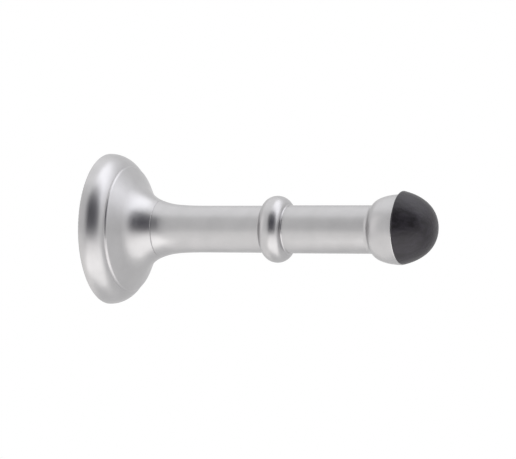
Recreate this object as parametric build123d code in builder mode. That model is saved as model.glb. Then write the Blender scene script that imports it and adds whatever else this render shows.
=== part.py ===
from build123d import *
import os
from math import asin, atan2, cos, hypot, radians, sin, sqrt, tan

# Concealed fix door stop: a bell-shaped rose, a turned stem and a rubber buffer in line on one axis.
# The origin is the centre of the back, on the wall. +X points out of the wall, and +Z is up.
# All sizes are in millimetres. Every profile is drawn as distance from the wall and radius.

# Rose: a hollow cover with a round bead at its rim and a bell that sweeps in to the neck
rose_diameter = 48.0
rose_height = 18.0
bead_radius = 7.4
bead_width = 4.0
bell_step = 0.6
bell_step_round = 0.85
bell_arc_share = 0.84
rim_width = 3.5
rim_edge_round = 0.4
rose_wall = 2.4
rose_roof = 3.0

# Stem: a flared foot, a shaft with a ring round it, and a cup that carries the buffer
stem_length = 81.2
shaft_diameter = 14.75
front_diameter = 15.0  # beyond the ring the shaft is a little thicker
flare_length = 16.0
flare_rise = 1.7
flare_angle = 19.0
flare_root_share = 0.19
flare_tail_share = 0.69
ring_distance = 39.85
ring_width = 7.5
ring_rise = 3.1
ring_fillet = 0.4
cup_depth = 9.0
cup_rise = 3.4
cup_fillet = 2.0
cup_lip_round = 0.3
seam_chamfer = 0.15

# Spigot on the stem's foot, which centres the rose
seat_width = 3.15
spigot_length = 2.6
spigot_chamfer = 0.3
spigot_clearance = 0.1

# Buffer: a rubber dome that lies flat on the cup and overhangs it, on a ribbed stalk
buffer_length = 11.0
rim_overhang = 0.45
rim_bevel = 0.3
rim_round = 0.2
dome_side_angle = 13.0
dome_side_share = 0.265
dome_nose_share = 0.74
buffer_rise = 0.58  # the soft head sits this far above the stem's axis
stalk_diameter = 9.8
stalk_length = 7.0
stalk_chamfer = 0.8
rib_count = 3
rib_height = 0.4
rib_pitch = 1.9
stalk_clearance = 0.1
bore_spare_depth = 1.0
bore_chamfer = 0.5

# Fixing plate: a steel disc inside the rose, with countersunk holes for wood screws
plate_thickness = 3.0
plate_clearance = 0.5
plate_headroom = 0.5
plate_edge_round = 0.4
screw_count = 3
first_screw_angle = 90.0
screw_hole_diameter = 4.5
screw_head_diameter = 9.0
screw_edge_distance = 6.5
countersink_angle = 90.0

# Fixing stud: riveted into the plate from behind, and threaded into the stem
thread_diameter = 8.0
thread_engagement = 14.0
thread_clearance = 0.05
thread_chamfer = 0.8
thread_spare_depth = 2.0
collar_diameter = 12.0
collar_height = 2.0
rivet_diameter = 6.5
rivet_head_diameter = 9.0
rivet_clearance = 0.02
drill_point_angle = 118.0

# Radii and places that follow from the sizes above
rose_radius = rose_diameter / 2
bell_base_radius = rose_radius - bead_width
crease_x = rim_edge_round + sqrt(bead_radius**2 - (bead_radius - bead_width) ** 2)
bell_x = crease_x + bell_step
roof_x = rose_height - rose_roof
shaft_radius = shaft_diameter / 2
front_radius = front_diameter / 2
neck_radius = shaft_radius + flare_rise
flow_angle = radians(flare_angle)
flare_root = flare_root_share * flare_length
flare_tail = flare_tail_share * flare_length
spigot_radius = neck_radius - seat_width
socket_radius = spigot_radius + spigot_clearance
foot_x = rose_height
flare_end_x = foot_x + flare_length
spigot_x = foot_x - spigot_length
ring_x = foot_x + ring_distance
mouth_x = foot_x + stem_length
cup_x = mouth_x - cup_depth
cup_radius = front_radius + cup_rise
rim_x = mouth_x + rim_bevel
rim_radius = cup_radius + rim_overhang
back_radius = rim_radius - rim_bevel
tip_x = mouth_x + buffer_length
dome_side = dome_side_share * (tip_x - rim_x)
stalk_radius = stalk_diameter / 2
bore_radius = stalk_radius + rib_height + stalk_clearance
bore_depth = stalk_length + bore_spare_depth
pocket_radius = rose_radius - rim_width
pocket_depth = plate_thickness + plate_headroom
plate_radius = pocket_radius - plate_clearance
screw_circle_radius = plate_radius - screw_edge_distance
screw_hole_radius = screw_hole_diameter / 2
screw_head_radius = screw_head_diameter / 2
thread_radius = thread_diameter / 2
thread_hole_radius = thread_radius + thread_clearance
stud_end_x = foot_x + thread_engagement
thread_hole_end_x = stud_end_x + thread_spare_depth
rivet_radius = rivet_diameter / 2
rivet_head_radius = rivet_head_diameter / 2
rivet_head_depth = (rivet_head_radius - rivet_radius) / tan(radians(countersink_angle / 2))
collar_x = plate_thickness + collar_height


def point_depth(radius):
    """Depth of the cone that a drill of this radius leaves at the bottom of its hole."""
    return radius / tan(radians(drill_point_angle / 2))


def circle_at(piece, x, radius, height=0.0):
    """The circular edge of a piece at this distance from the wall, radius and height of centre."""
    circles = piece.edges().filter_by(GeomType.CIRCLE)
    return circles.sort_by_distance((x, radius, height))[0]


# The bell's upper part is an arc that meets the stem's flare in line, so its centre lies on the
# flare's normal. Its lower part is a cone, the tangent from the step to that arc. The arc's radius
# is a share of the widest one, which would reach the step by itself.
bell_run = rose_height - bell_x
bell_drop = bell_base_radius - neck_radius
bell_lean = bell_drop * cos(flow_angle) - bell_run * sin(flow_angle)
bell_radius = bell_arc_share * (bell_run**2 + bell_drop**2) / (2 * bell_lean)
bell_centre_x = rose_height + bell_radius * sin(flow_angle)
bell_centre_r = neck_radius + bell_radius * cos(flow_angle)
centre_reach = hypot(bell_centre_x - bell_x, bell_centre_r - bell_base_radius)
centre_angle = atan2(bell_centre_r - bell_base_radius, bell_centre_x - bell_x)
bell_slope = asin(bell_radius / centre_reach) - centre_angle
cone_length = sqrt(centre_reach**2 - bell_radius**2)
cone_end_x = bell_x + cone_length * cos(bell_slope)
cone_end_r = bell_base_radius - cone_length * sin(bell_slope)
hollow_radius = bell_radius + rose_wall
hollow_top_r = bell_centre_r - sqrt(hollow_radius**2 - (bell_centre_x - roof_x) ** 2)
hollow_cone_x = cone_end_x - rose_wall * sin(bell_slope)
hollow_cone_r = cone_end_r - rose_wall * cos(bell_slope)
hollow_foot_r = bell_base_radius - rose_wall
hollow_foot_x = hollow_cone_x - (hollow_foot_r - hollow_cone_r) / tan(bell_slope)

# Rose: outside bead, step and bell, inside a pocket for the plate and a wall of even thickness
with BuildPart() as rose:
    with BuildSketch(Plane.XZ) as rose_section:
        with BuildLine():
            Line((0, pocket_radius), (0, rose_radius - rim_edge_round))
            RadiusArc((0, rose_radius - rim_edge_round), (rim_edge_round, rose_radius), rim_edge_round)
            RadiusArc((rim_edge_round, rose_radius), (crease_x, bell_base_radius), bead_radius)
            Polyline((crease_x, bell_base_radius), (bell_x, bell_base_radius), (cone_end_x, cone_end_r))
            RadiusArc((cone_end_x, cone_end_r), (rose_height, neck_radius), -bell_radius)
            Polyline(
                (rose_height, neck_radius),
                (rose_height, socket_radius),
                (roof_x, socket_radius),
                (roof_x, hollow_top_r),
            )
            RadiusArc((roof_x, hollow_top_r), (hollow_cone_x, hollow_cone_r), hollow_radius)
            Polyline(
                (hollow_cone_x, hollow_cone_r),
                (hollow_foot_x, hollow_foot_r),
                (pocket_depth, pocket_radius),
                (0, pocket_radius),
            )
        make_face()
    revolve(axis=Axis.X)
    fillet(circle_at(rose, bell_x, bell_base_radius), radius=bell_step_round)
    chamfer(circle_at(rose, rose_height, neck_radius), length=seam_chamfer)
rose.part.label = "rose"

# Fixing plate: flat on the wall, countersunk in front for the screws and behind for the rivet
with BuildPart() as fixing_plate:
    with BuildSketch(Plane.YZ):
        Circle(plate_radius)
    extrude(amount=plate_thickness)
    fillet(circle_at(fixing_plate, plate_thickness, plate_radius), radius=plate_edge_round)
    with Locations(Plane.YZ.offset(plate_thickness)):
        with PolarLocations(screw_circle_radius, screw_count, start_angle=first_screw_angle):
            CounterSinkHole(screw_hole_radius, screw_head_radius, counter_sink_angle=countersink_angle)
    with Locations(Plane.ZY):
        CounterSinkHole(rivet_radius, rivet_head_radius, counter_sink_angle=countersink_angle)
fixing_plate.part.label = "fixing_plate"

# Fixing stud: a rivet head flush with the plate's back, a collar on its front and a threaded shank
with BuildPart() as fixing_stud:
    with BuildSketch(Plane.XZ) as stud_section:
        with BuildLine():
            Polyline(
                (0, 0),
                (0, rivet_head_radius - rivet_clearance),
                (rivet_head_depth, rivet_radius - rivet_clearance),
                (plate_thickness, rivet_radius - rivet_clearance),
                (plate_thickness, collar_diameter / 2),
                (collar_x, collar_diameter / 2),
                (collar_x, thread_radius),
                (stud_end_x - thread_chamfer, thread_radius),
                (stud_end_x, thread_radius - thread_chamfer),
                (stud_end_x, 0),
                (0, 0),
            )
        make_face()
    revolve(axis=Axis.X)
fixing_stud.part.label = "fixing_stud"

# Stem: flared foot, shaft, ring and cup in one piece, with a blind hole in each end
with BuildPart() as stem:
    with BuildSketch(Plane.XZ) as stem_section:
        with BuildLine():
            Polyline(
                (thread_hole_end_x + point_depth(thread_hole_radius), 0),
                (thread_hole_end_x, thread_hole_radius),
                (spigot_x, thread_hole_radius),
                (spigot_x, spigot_radius),
                (foot_x, spigot_radius),
                (foot_x, neck_radius),
            )
            Bezier(
                (foot_x, neck_radius),
                (foot_x + flare_root * cos(flow_angle), neck_radius - flare_root * sin(flow_angle)),
                (flare_end_x - flare_tail, shaft_radius),
                (flare_end_x, shaft_radius),
            )
            Polyline(
                (flare_end_x, shaft_radius),
                (ring_x, shaft_radius),
                (ring_x, front_radius),
                (cup_x, front_radius),
            )
            EllipticalCenterArc((mouth_x, front_radius), cup_depth, cup_rise, 90, arc_size=90)
            Polyline(
                (mouth_x, cup_radius),
                (mouth_x, bore_radius),
                (mouth_x - bore_depth, bore_radius),
                (mouth_x - bore_depth - point_depth(bore_radius), 0),
                (thread_hole_end_x + point_depth(thread_hole_radius), 0),
            )
        make_face()
        with Locations((ring_x, shaft_radius)):
            Ellipse(ring_width / 2, ring_rise)
    revolve(axis=Axis.X)
    fillet(circle_at(stem, ring_x - ring_width / 2, shaft_radius), radius=ring_fillet)
    fillet(circle_at(stem, ring_x + ring_width / 2, front_radius), radius=ring_fillet)
    fillet(circle_at(stem, cup_x, front_radius), radius=cup_fillet)
    fillet(circle_at(stem, mouth_x, cup_radius), radius=cup_lip_round)
    chamfer(circle_at(stem, mouth_x, bore_radius), length=bore_chamfer)
    chamfer(circle_at(stem, foot_x, neck_radius), length=seam_chamfer)
    chamfer(circle_at(stem, spigot_x, spigot_radius), length=spigot_chamfer)
    chamfer(circle_at(stem, spigot_x, thread_hole_radius), length=spigot_chamfer)
stem.part.label = "stem"

# Buffer: the dome turns about its own centre line, a little above the axis of the stalk that holds it
dome_plane = Plane(origin=(0, 0, buffer_rise), x_dir=(1, 0, 0), z_dir=(0, -1, 0))
dome_axis = Axis(origin=(0, 0, buffer_rise), direction=(1, 0, 0))
with BuildPart() as buffer:
    with BuildSketch(dome_plane) as dome_section:
        with BuildLine():
            Polyline((tip_x, 0), (mouth_x, 0), (mouth_x, back_radius), (rim_x, rim_radius))
            Bezier(
                (rim_x, rim_radius),
                (rim_x + dome_side, rim_radius - dome_side * tan(radians(dome_side_angle))),
                (tip_x, dome_nose_share * rim_radius),
                (tip_x, 0),
            )
        make_face()
    revolve(axis=dome_axis)
    fillet(circle_at(buffer, rim_x, rim_radius, buffer_rise), radius=rim_round)
    with BuildSketch(Plane.XZ) as stalk_section:
        with Locations((mouth_x - stalk_length / 2, stalk_radius / 2)):
            Rectangle(stalk_length, stalk_radius)
        stalk_corners = stalk_section.vertices()
        stalk_end = (mouth_x - stalk_length, stalk_radius)
        chamfer(stalk_corners.sort_by_distance(stalk_end)[0], length=stalk_chamfer)
        with Locations(*[(mouth_x - rib_pitch * (i + 1), stalk_radius) for i in range(rib_count)]):
            Circle(rib_height)
    revolve(axis=Axis.X)
buffer.part.label = "buffer"

os.makedirs("parts", exist_ok=True)
export_step(rose.part, "parts/rose.step")
export_step(fixing_plate.part, "parts/fixing_plate.step")
export_step(fixing_stud.part, "parts/fixing_stud.step")
export_step(stem.part, "parts/stem.step")
export_step(buffer.part, "parts/buffer.step")
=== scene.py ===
import math
import bmesh
import bpy
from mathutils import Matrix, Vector


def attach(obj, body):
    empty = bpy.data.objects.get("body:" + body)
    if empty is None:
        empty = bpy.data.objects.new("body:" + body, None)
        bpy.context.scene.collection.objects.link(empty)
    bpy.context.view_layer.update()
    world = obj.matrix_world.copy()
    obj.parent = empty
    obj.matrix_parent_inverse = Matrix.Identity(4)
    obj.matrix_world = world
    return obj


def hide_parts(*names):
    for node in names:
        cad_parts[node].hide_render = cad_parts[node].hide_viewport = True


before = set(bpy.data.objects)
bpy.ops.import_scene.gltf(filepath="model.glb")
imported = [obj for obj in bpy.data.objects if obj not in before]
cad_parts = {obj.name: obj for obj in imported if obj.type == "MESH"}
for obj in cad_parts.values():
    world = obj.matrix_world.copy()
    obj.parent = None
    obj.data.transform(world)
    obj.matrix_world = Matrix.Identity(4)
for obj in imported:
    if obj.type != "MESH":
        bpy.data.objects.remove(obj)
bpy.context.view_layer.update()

# Fixing plate: a steel disc that three countersunk screws hold to the wall, inside the rose.
# It is blanked from sheet, drilled, countersunk and zinc plated. The solid has its true form,
# so it keeps that and takes the plating as its finish.
MM = 0.001
scene = bpy.context.scene


def linear(hex_colour):
    """Linear RGBA of an sRGB colour written as hex digits."""
    parts = [int(hex_colour[i : i + 2], 16) / 255 for i in (1, 3, 5)]
    return [p / 12.92 if p <= 0.04045 else ((p + 0.055) / 1.055) ** 2.4 for p in parts] + [1.0]


def set_inputs(tree, node, inputs):
    """Sets each named input of a node, or links it where the value is another node's socket."""
    for name, value in inputs.items():
        if isinstance(value, bpy.types.NodeSocket):
            tree.links.new(value, node.inputs[name])
        else:
            node.inputs[name].default_value = value


def add_node(tree, kind, inputs=None, **settings):
    """Adds a node to a tree, with its settings and its inputs."""
    node = tree.nodes.new(kind)
    for name, value in settings.items():
        setattr(node, name, value)
    set_inputs(tree, node, inputs or {})
    return node


def new_material(name):
    """A material, its node tree and its shader."""
    material = bpy.data.materials.new(name)
    material.use_nodes = True
    return material, material.node_tree, material.node_tree.nodes["Principled BSDF"]


def finish_with(node, material):
    """Gives a carried-over solid its material."""
    node.data.materials.clear()
    node.data.materials.append(material)


# Bright zinc plate on steel: a cool silver grey, with cloudy patches where the plating bath left it
# thicker and a faint blue and straw bloom from the passivation. The sheet's rolling lines show through.
ZINC_BLUE = "#B1B4B7"
ZINC_STRAW = "#B9B8B4"
bloom_band = (0.35, 0.65)
zinc_roughness = (0.26, 0.42)
zinc_patch = 2.2 * MM
zinc_line = 0.25 * MM
zinc_line_depth = 0.01 * MM
zinc, tree, shader = new_material("bright_zinc_plate")
place = add_node(tree, "ShaderNodeTexCoord").outputs["Object"]
cloud = add_node(tree, "ShaderNodeTexNoise", {"Vector": place, "Scale": 1 / zinc_patch, "Detail": 4.0})
bloom = add_node(tree, "ShaderNodeValToRGB", {"Fac": cloud.outputs["Fac"]})
for stop, position, colour in zip(bloom.color_ramp.elements, bloom_band, (ZINC_BLUE, ZINC_STRAW)):
    stop.position = position
    stop.color = linear(colour)
rolled = add_node(
    tree, "ShaderNodeMapping", {"Vector": place, "Scale": (1 / zinc_patch, 1 / zinc_patch, 1 / zinc_line)}
)
lines = add_node(
    tree, "ShaderNodeTexNoise", {"Vector": rolled.outputs["Vector"], "Scale": 1.0, "Detail": 2.0}
)
gloss = add_node(
    tree,
    "ShaderNodeMapRange",
    {"Value": cloud.outputs["Fac"], "To Min": zinc_roughness[0], "To Max": zinc_roughness[1]},
)
relief = add_node(
    tree, "ShaderNodeBump", {"Height": lines.outputs["Fac"], "Strength": 0.25, "Distance": zinc_line_depth}
)
set_inputs(
    tree,
    shader,
    {
        "Metallic": 1.0,
        "Base Color": bloom.outputs["Color"],
        "Roughness": gloss.outputs["Result"],
        "Normal": relief.outputs["Normal"],
    },
)
finish_with(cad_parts["fixing_plate"], zinc)

# Fixing stud: steel bar riveted into the plate from behind, with a collar against the plate's front.
# Its M8 thread is rolled, fades out at the collar and screws into the stem. The solid's shank is
# plain, so a mesh with the real helix takes its place, zinc plated as the plate is.
plate_front = 3.0 * MM
collar_front = 5.0 * MM
stud_end = 32.0 * MM
collar_radius = 6.0 * MM
collar_chamfer = 0.2 * MM
rivet_radius = 3.23 * MM
rivet_head_depth = 1.25 * MM
rivet_head_lip = 0.2 * MM
rivet_head_rim = 4.05 * MM
thread_pitch = 1.25 * MM
thread_radius = 4.0 * MM
# A metric thread is 0.541 of its pitch deep.
thread_depth = 0.541 * thread_pitch
thread_end_chamfer = 0.8 * MM
thread_columns = 72
weld_distance = 0.0005 * MM
sharp_edge = math.radians(35)
# One turn of the rolled form, as share of the pitch and share of the depth, with rounded corners.
ROLLED_CREST = [(0, 0.03), (0.02, 0), (0.105, 0), (0.125, 0.03)]
ROLLED_ROOT = [(0.42, 0.95), (0.46, 1), (0.665, 1), (0.705, 0.95)]
rolled_form = ROLLED_CREST + ROLLED_ROOT
# The dish that the riveting punch leaves in the head, in millimetres from the wall and off the axis.
PUNCH_DISH = [(0, 2.9), (0.12, 2.5), (0.3, 2.0), (0.36, 1.0)]
# The turned profile behind the thread, from the collar's front edge to the dish on the wall side.
shank_profile = [
    (collar_front, thread_radius),
    (collar_front, collar_radius - collar_chamfer),
    (collar_front - collar_chamfer, collar_radius),
    (plate_front + collar_chamfer, collar_radius),
    (plate_front, collar_radius - collar_chamfer),
    (plate_front, rivet_radius),
    (rivet_head_depth, rivet_radius),
    (rivet_head_lip, rivet_radius + rivet_head_depth - rivet_head_lip),
    (0, rivet_head_rim),
]
shank_profile += [(x * MM, radius * MM) for x, radius in PUNCH_DISH]

mesh = bmesh.new()
column_angles = [2 * math.pi * column / thread_columns for column in range(thread_columns)]


def round_axis(x, radius, angle):
    """A corner of the mesh at a distance from the wall, a radius and an angle round the stud's axis."""
    return mesh.verts.new((x, radius * math.cos(angle), radius * math.sin(angle)))


turns = math.ceil((stud_end - collar_front) / thread_pitch) + 1
helix = []
for turn in range(turns):
    for along_pitch, deep in rolled_form:
        row = []
        for column, angle in enumerate(column_angles):
            x = collar_front + (turn - 1 + along_pitch + column / thread_columns) * thread_pitch
            x = min(max(x, collar_front), stud_end)
            run_out = min((x - collar_front) / thread_pitch, 1)
            radius = thread_radius - deep * run_out * thread_depth
            radius = min(radius, thread_radius - thread_end_chamfer + (stud_end - x))
            row.append(round_axis(x, radius, angle))
        helix.append(row)
for low, high in zip(helix, helix[1:]):
    for column in range(thread_columns - 1):
        mesh.faces.new((low[column], low[column + 1], high[column + 1], high[column]))
# The last column of a turn meets the first column of the next turn.
turn_rows = len(rolled_form)
for here in range(len(helix) - turn_rows - 1):
    next_turn = here + turn_rows
    mesh.faces.new((helix[here][-1], helix[next_turn][0], helix[next_turn + 1][0], helix[here + 1][-1]))
shank = [[round_axis(x, radius, angle) for angle in column_angles] for x, radius in shank_profile]
for high, low in zip(shank, shank[1:]):
    for column in range(thread_columns):
        after = (column + 1) % thread_columns
        mesh.faces.new((low[column], low[after], high[after], high[column]))
mesh.faces.new(shank[-1])
bmesh.ops.remove_doubles(mesh, verts=mesh.verts, dist=weld_distance)
bmesh.ops.holes_fill(mesh, edges=[edge for edge in mesh.edges if edge.is_boundary], sides=0)
bmesh.ops.recalc_face_normals(mesh, faces=mesh.faces)
stud_mesh = bpy.data.meshes.new("threaded_stud")
mesh.to_mesh(stud_mesh)
mesh.free()
stud_mesh.shade_smooth()
stud_mesh.set_sharp_from_angle(angle=sharp_edge)
stud_mesh.materials.append(zinc)
stud = bpy.data.objects.new("threaded_stud", stud_mesh)
scene.collection.objects.link(stud)
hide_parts("fixing_stud")
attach(stud, "root")

# Rose: the bell-shaped cover over the plate, with a round bead at its rim.
# It is cast, turned and satin chrome plated, and the stem's foot clamps it to the wall.

# Satin chrome: the blasted and brushed ground under the plate spreads reflections softly, a little
# more round the axis than along it. Fine lines from the satin wheel run round the axis too, and are
# drawn about twice as coarse as they are, to show.
CHROME_LIGHT = "#B1B0B1"
CHROME_DARK = "#ABAAAB"
chrome_band = (0.3, 0.7)
chrome_roughness = (0.32, 0.38)
chrome_patch = 5.0 * MM
satin_line = 0.22 * MM
satin_streak = 7.0 * MM
satin_line_depth = 0.006 * MM
chrome, tree, shader = new_material("satin_chrome_plate")
place = add_node(tree, "ShaderNodeTexCoord").outputs["Object"]
axes = add_node(tree, "ShaderNodeSeparateXYZ", {"Vector": place})
across = add_node(tree, "ShaderNodeCombineXYZ", {"Y": axes.outputs["Y"], "Z": axes.outputs["Z"]})
radius = add_node(tree, "ShaderNodeVectorMath", {0: across.outputs["Vector"]}, operation="LENGTH")
angle = add_node(tree, "ShaderNodeMath", {0: axes.outputs["Y"], 1: axes.outputs["Z"]}, operation="ARCTAN2")
arc = add_node(
    tree, "ShaderNodeMath", {0: angle.outputs["Value"], 1: radius.outputs["Value"]}, operation="MULTIPLY"
)
wheel = add_node(
    tree,
    "ShaderNodeCombineXYZ",
    {"X": axes.outputs["X"], "Y": radius.outputs["Value"], "Z": arc.outputs["Value"]},
)
stretched = add_node(
    tree,
    "ShaderNodeMapping",
    {"Vector": wheel.outputs["Vector"], "Scale": (1 / satin_line, 1 / satin_line, 1 / satin_streak)},
)
lines = add_node(
    tree, "ShaderNodeTexNoise", {"Vector": stretched.outputs["Vector"], "Scale": 1.0, "Detail": 3.0}
)
cloud = add_node(tree, "ShaderNodeTexNoise", {"Vector": place, "Scale": 1 / chrome_patch, "Detail": 3.0})
tone = add_node(tree, "ShaderNodeValToRGB", {"Fac": cloud.outputs["Fac"]})
for stop, position, colour in zip(tone.color_ramp.elements, chrome_band, (CHROME_DARK, CHROME_LIGHT)):
    stop.position = position
    stop.color = linear(colour)
gloss = add_node(
    tree,
    "ShaderNodeMapRange",
    {"Value": lines.outputs["Fac"], "To Min": chrome_roughness[0], "To Max": chrome_roughness[1]},
)
relief = add_node(
    tree, "ShaderNodeBump", {"Height": lines.outputs["Fac"], "Strength": 0.3, "Distance": satin_line_depth}
)
round_the_axis = add_node(tree, "ShaderNodeTangent", direction_type="RADIAL", axis="X")
set_inputs(
    tree,
    shader,
    {
        "Metallic": 1.0,
        "Anisotropic": 0.38,
        "Tangent": round_the_axis.outputs["Tangent"],
        "Base Color": tone.outputs["Color"],
        "Roughness": gloss.outputs["Result"],
        "Normal": relief.outputs["Normal"],
    },
)
finish_with(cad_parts["rose"], chrome)

# Stem: turned from bar with its flared foot, ring and cup in one piece, and plated as the rose is.
# It screws onto the stud until its foot meets the rose.
finish_with(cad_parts["stem"], chrome)

# Buffer: the soft head that the door meets, pressed into the stem's cup by its ribbed stalk.
# Moulded rubber: nearly black and matte, with soft streaks where it flowed in the mould, the fine
# grain of the blasted mould and a pale bloom that lies unevenly on it.
RUBBER_DARK = "#181619"
RUBBER_PALE = "#242127"
RUBBER_SHEEN = "#FAF7FD"
mottle_band = (0.38, 0.62)
rubber_roughness = (0.34, 0.54)
rubber_flow = 4.0 * MM
rubber_mottle = 1.6 * MM
rubber_wave = 0.25 * MM
rubber_grain = 0.3 * MM
rubber_grain_depth = 0.04 * MM
rubber, tree, shader = new_material("matte_moulded_rubber")
place = add_node(tree, "ShaderNodeTexCoord").outputs["Object"]
flow = add_node(
    tree,
    "ShaderNodeMapping",
    {"Vector": place, "Scale": (1 / rubber_flow, 1 / rubber_mottle, 1 / rubber_mottle)},
)
mottle = add_node(
    tree, "ShaderNodeTexNoise", {"Vector": flow.outputs["Vector"], "Scale": 1.0, "Detail": 2.5}
)
grain = add_node(tree, "ShaderNodeTexNoise", {"Vector": place, "Scale": 1 / rubber_grain, "Detail": 3.0})
tone = add_node(tree, "ShaderNodeValToRGB", {"Fac": mottle.outputs["Fac"]})
for stop, position, colour in zip(tone.color_ramp.elements, mottle_band, (RUBBER_DARK, RUBBER_PALE)):
    stop.position = position
    stop.color = linear(colour)
gloss = add_node(
    tree,
    "ShaderNodeMapRange",
    {"Value": mottle.outputs["Fac"], "To Min": rubber_roughness[0], "To Max": rubber_roughness[1]},
)
waves = add_node(
    tree, "ShaderNodeBump", {"Height": mottle.outputs["Fac"], "Strength": 0.5, "Distance": rubber_wave}
)
relief = add_node(
    tree,
    "ShaderNodeBump",
    {
        "Height": grain.outputs["Fac"],
        "Strength": 0.3,
        "Distance": rubber_grain_depth,
        "Normal": waves.outputs["Normal"],
    },
)
set_inputs(
    tree,
    shader,
    {
        "IOR": 1.44,
        "Specular Tint": linear(RUBBER_SHEEN),
        "Base Color": tone.outputs["Color"],
        "Roughness": gloss.outputs["Result"],
        "Normal": relief.outputs["Normal"],
    },
)
finish_with(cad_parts["buffer"], rubber)

# Camera: a long lens level with the stem's axis, on the room's side of the wall and swung a little
# towards the buffer's end.
camera_swing = math.radians(22.42)
camera_roll = math.radians(0.17)
camera_distance = 909.3 * MM
aim = Vector((51.13 * MM, 0, -0.09 * MM))
to_camera = Vector((math.sin(camera_swing), -math.cos(camera_swing), 0))
picture_right = Vector((math.cos(camera_swing), math.sin(camera_swing), 0))
camera_data = bpy.data.cameras.new("camera")
camera_data.sensor_width = 36.0
camera_data.lens = 202.4
camera = bpy.data.objects.new("camera", camera_data)
camera.location = aim + to_camera * camera_distance
camera.rotation_euler = (-to_camera).to_track_quat("-Z", "Y").to_euler()
camera.rotation_euler.rotate_axis("Z", camera_roll)
scene.collection.objects.link(camera)
scene.camera = camera

# Studio: a white tent all round, with a softbox on the right and one above, bounce panels below and
# at the side, and a black card with a soft edge beside the lens, which gives the metal its dark
# reflections. Directions are in degrees right of the camera and above the horizon, distances in metres.


def towards(azimuth, elevation):
    """Direction from the object, in degrees right of the camera and above the horizon."""
    a, e = math.radians(azimuth), math.radians(elevation)
    level = to_camera * math.cos(a) + picture_right * math.sin(a)
    return level * math.cos(e) + Vector((0, 0, math.sin(e)))


def place_facing(thing, azimuth, elevation, distance):
    """Puts a lamp or a card in a direction from the object, with its front to the object."""
    out = towards(azimuth, elevation)
    thing.location = aim + out * distance
    thing.rotation_euler = (-out).to_track_quat("-Z", "Y").to_euler()
    scene.collection.objects.link(thing)


# Each lamp's direction and distance, size, roll, tint and level, which is what it adds to the tent's
# white where the metal mirrors it.
SOFTBOXES = {
    "softbox_right": dict(at=(83, 54, 0.70), size=(0.58, 0.81), roll=-14, level=1.13, tint="#F7F8FF"),
    "softbox_top": dict(at=(41, 87, 0.80), size=(1.06, 2.20), roll=0, level=0.47, tint="#FCFDFF"),
    "bounce_front": dict(at=(24, -48, 0.50), size=(0.73, 0.72), roll=-5, level=1.12, tint="#FFFDFB"),
    "bounce_side": dict(at=(-82, 13, 0.60), size=(0.29, 0.54), roll=0, level=0.47, tint="#FFFAF9"),
    "bounce_left": dict(at=(-77, -46, 0.50), size=(1.14, 0.59), roll=12, level=0.42, tint="#FFFCF8"),
}
for name, box in SOFTBOXES.items():
    width, height = box["size"]
    lamp = bpy.data.lights.new(name, "AREA")
    lamp.shape = "RECTANGLE"
    lamp.size = width
    lamp.size_y = height
    # The power at which a flat lamp looks as bright as its level.
    lamp.energy = box["level"] * math.pi * width * height
    lamp.color = linear(box["tint"])[:3]
    softbox = bpy.data.objects.new(name, lamp)
    softbox.visible_camera = False
    place_facing(softbox, *box["at"])
    softbox.rotation_euler.rotate_axis("Z", math.radians(box["roll"]))

# Black card: felt on board, which shows only in the metal. It fades out towards its rounded edge and
# is turned a little away from the object.
CARD_BLACK = "#08082C"
card_width = 0.49
card_height = 0.43
card_azimuth = 22.7
card_elevation = 19.1
card_distance = 0.31
card_facing_azimuth = -9
card_fade_start = 0.75
card_mesh = bpy.data.meshes.new("dark_card")
square = [(-1, -1), (1, -1), (1, 1), (-1, 1)]
card_corners = [(x * card_width / 2, y * card_height / 2, 0) for x, y in square]
card_mesh.from_pydata(card_corners, [], [(0, 1, 2, 3)])
card = bpy.data.objects.new("dark_card", card_mesh)
card_black, tree, shader = new_material("black_card")
place = add_node(tree, "ShaderNodeTexCoord").outputs["Object"]
# Squared places give the fade the outline of a rounded rectangle.
to_edge = (2 / card_width, 2 / card_height, 1)
share = add_node(tree, "ShaderNodeMapping", {"Vector": place, "Scale": to_edge}).outputs["Vector"]
squared = add_node(tree, "ShaderNodeVectorMath", {0: share, 1: share}, operation="MULTIPLY")
from_middle = add_node(tree, "ShaderNodeVectorMath", {0: squared.outputs["Vector"]}, operation="LENGTH")
cover = add_node(
    tree,
    "ShaderNodeMapRange",
    {"Value": from_middle.outputs["Value"], "From Min": card_fade_start, "To Min": 1.0, "To Max": 0.0},
    interpolation_type="SMOOTHSTEP",
)
set_inputs(
    tree, shader, {"Base Color": linear(CARD_BLACK), "Roughness": 0.9, "Alpha": cover.outputs["Result"]}
)
card_mesh.materials.append(card_black)
card.visible_camera = False
card.visible_diffuse = False
card.visible_shadow = False
place_facing(card, card_azimuth, card_elevation, card_distance)
card_front = -towards(card_facing_azimuth, card_elevation)
card.rotation_euler = card_front.to_track_quat("-Z", "Y").to_euler()

# Floor: a wide pale disc of painted board below the lamps. It fades into the white of the tent, and
# the metal mirrors it as white.
FLOOR_SHADE = "#F1F1F0"
FLOOR_LIGHT = "#F7F7F6"
WHITE = "#FFFFFF"
floor_level = -0.65
floor_radius = 1.4
floor_cloud = 0.4
floor_fade_start = 0.25
floor_fade_end = 0.9
mesh = bmesh.new()
bmesh.ops.create_circle(mesh, cap_ends=True, segments=96, radius=floor_radius)
floor_mesh = bpy.data.meshes.new("floor")
mesh.to_mesh(floor_mesh)
mesh.free()
floor = bpy.data.objects.new("floor", floor_mesh)
floor.location = (aim.x, aim.y, floor_level)
scene.collection.objects.link(floor)
floor_pale, tree, shader = new_material("pale_studio_floor")
place = add_node(tree, "ShaderNodeTexCoord").outputs["Object"]
cloud = add_node(tree, "ShaderNodeTexNoise", {"Vector": place, "Scale": 1 / floor_cloud, "Detail": 3.0})
tone = add_node(tree, "ShaderNodeValToRGB", {"Fac": cloud.outputs["Fac"]})
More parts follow.
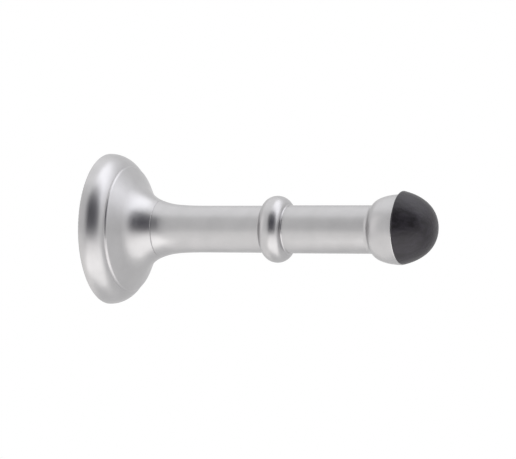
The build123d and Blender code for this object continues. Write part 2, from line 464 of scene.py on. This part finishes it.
for stop, colour in zip(tone.color_ramp.elements, (FLOOR_SHADE, FLOOR_LIGHT)):
    stop.color = linear(colour)
set_inputs(
    tree, shader, {"Roughness": 0.8, "Specular IOR Level": 0.2, "Base Color": tone.outputs["Color"]}
)
from_middle = add_node(tree, "ShaderNodeVectorMath", {0: place}, operation="LENGTH")
fade = add_node(
    tree,
    "ShaderNodeMapRange",
    {"Value": from_middle.outputs["Value"], "From Min": floor_fade_start, "From Max": floor_fade_end},
    interpolation_type="SMOOTHSTEP",
)
rays = add_node(tree, "ShaderNodeLightPath")
faded = add_node(
    tree,
    "ShaderNodeMath",
    {0: fade.outputs["Result"], 1: rays.outputs["Is Camera Ray"]},
    operation="MULTIPLY",
)
mirrored = add_node(
    tree,
    "ShaderNodeMath",
    {0: rays.outputs["Is Glossy Ray"], 1: rays.outputs["Is Transmission Ray"]},
    operation="MAXIMUM",
)
white_share = add_node(
    tree, "ShaderNodeMath", {0: faded.outputs["Value"], 1: mirrored.outputs["Value"]}, operation="MAXIMUM"
)
white = add_node(tree, "ShaderNodeEmission", {"Color": linear(WHITE), "Strength": 1.0})
blend = add_node(
    tree,
    "ShaderNodeMixShader",
    {0: white_share.outputs["Value"], 1: shader.outputs["BSDF"], 2: white.outputs["Emission"]},
)
set_inputs(tree, tree.nodes["Material Output"], {"Surface": blend.outputs["Shader"]})
floor_mesh.materials.append(floor_pale)

# Tent: white cloth all round. It shows and mirrors as plain white, and gives the object a softer light
# than that, so that the softboxes shape it.
tent_shown = 1.0
tent_light = 0.6
scene.view_settings.view_transform = "Standard"
world = bpy.data.worlds.new("white_tent")
scene.world = world
world.use_nodes = True
tree = world.node_tree
rays = add_node(tree, "ShaderNodeLightPath")
seen = add_node(
    tree,
    "ShaderNodeMath",
    {0: rays.outputs["Is Camera Ray"], 1: rays.outputs["Is Glossy Ray"]},
    operation="MAXIMUM",
)
seen_or_through = add_node(
    tree,
    "ShaderNodeMath",
    {0: seen.outputs["Value"], 1: rays.outputs["Is Transmission Ray"]},
    operation="MAXIMUM",
)
strength = add_node(
    tree,
    "ShaderNodeMapRange",
    {"Value": seen_or_through.outputs["Value"], "To Min": tent_light, "To Max": tent_shown},
)
set_inputs(
    tree, tree.nodes["Background"], {"Color": linear(WHITE), "Strength": strength.outputs["Result"]}
)
